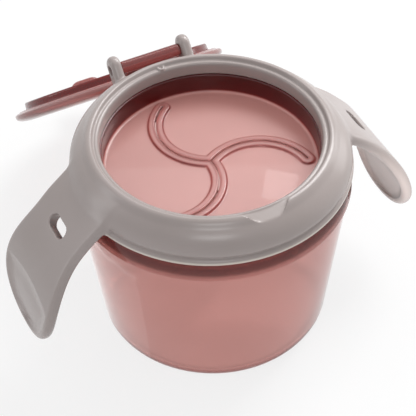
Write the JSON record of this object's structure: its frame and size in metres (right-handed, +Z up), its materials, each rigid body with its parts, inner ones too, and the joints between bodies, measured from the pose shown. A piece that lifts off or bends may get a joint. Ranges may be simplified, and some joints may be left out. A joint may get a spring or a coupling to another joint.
{
  "type": "toddler snack container",
  "caption": "Two-handled toddler snack pot with a slitted membrane insert, a hinged snap lid swung open and a tapered bowl.",
  "frame": {"origin": "centre of the bowl's flat base, on the surface the container stands on", "axes": "+Z up along the axis of the bowl, +Y towards the lid hinge, -Y towards the thumb notch, +X and -X towards the two handles"},
  "size_m": [0.1574, 0.1837, 0.0887],
  "materials": {
    "bowl_plastic": "clear, tinted, smooth",
    "membrane_rubber": "satin",
    "collar_plastic": "satin",
    "lid_plastic": "clear, tinted, smooth"
  },
  "bodies": {
    "bowl": {"bowl": "bowl_plastic"},
    "insert": {"membrane_insert": "membrane_rubber"},
    "flap_1": {"membrane_flap_1": "membrane_rubber"},
    "flap_2": {"membrane_flap_2": "membrane_rubber"},
    "flap_3": {"membrane_flap_3": "membrane_rubber"},
    "collar": {"collar": "collar_plastic"},
    "lid": {"lid": "lid_plastic"}
  },
  "joints": [
    {"name": "insert_lift", "type": "slide", "parent": "bowl", "child": "insert", "axis": [0, 0, 1], "range_m": [0, 0.03]},
    {"name": "collar_lift", "type": "slide", "parent": "insert", "child": "collar", "axis": [0, 0, 1], "range_m": [0, 0.03]},
    {"name": "lid_hinge", "type": "hinge", "parent": "collar", "child": "lid", "pos_m": [0, 0.0524, 0.0837], "axis": [1, 0, 0], "range_deg": [0, 222.5]},
    {"name": "flap_1_bend", "type": "hinge", "parent": "insert", "child": "flap_1", "pos_m": [0.00866, 0.01858, 0.0717], "axis": [0.5736, -0.8192, 0], "range_deg": [-30, 60], "stiffness_Nm_per_rad": 0.003, "springref_deg": -1.38},
    {"name": "flap_2_bend", "type": "hinge", "parent": "insert", "child": "flap_2", "pos_m": [0.01176, -0.01679, 0.0717], "axis": [-0.9962, -0.0872, 0], "range_deg": [-30, 60], "stiffness_Nm_per_rad": 0.003, "springref_deg": -1.38},
    {"name": "flap_3_bend", "type": "hinge", "parent": "insert", "child": "flap_3", "pos_m": [-0.02042, -0.00179, 0.0717], "axis": [0.4226, 0.9063, 0], "range_deg": [-30, 60], "stiffness_Nm_per_rad": 0.003, "springref_deg": -1.38}
  ]
}
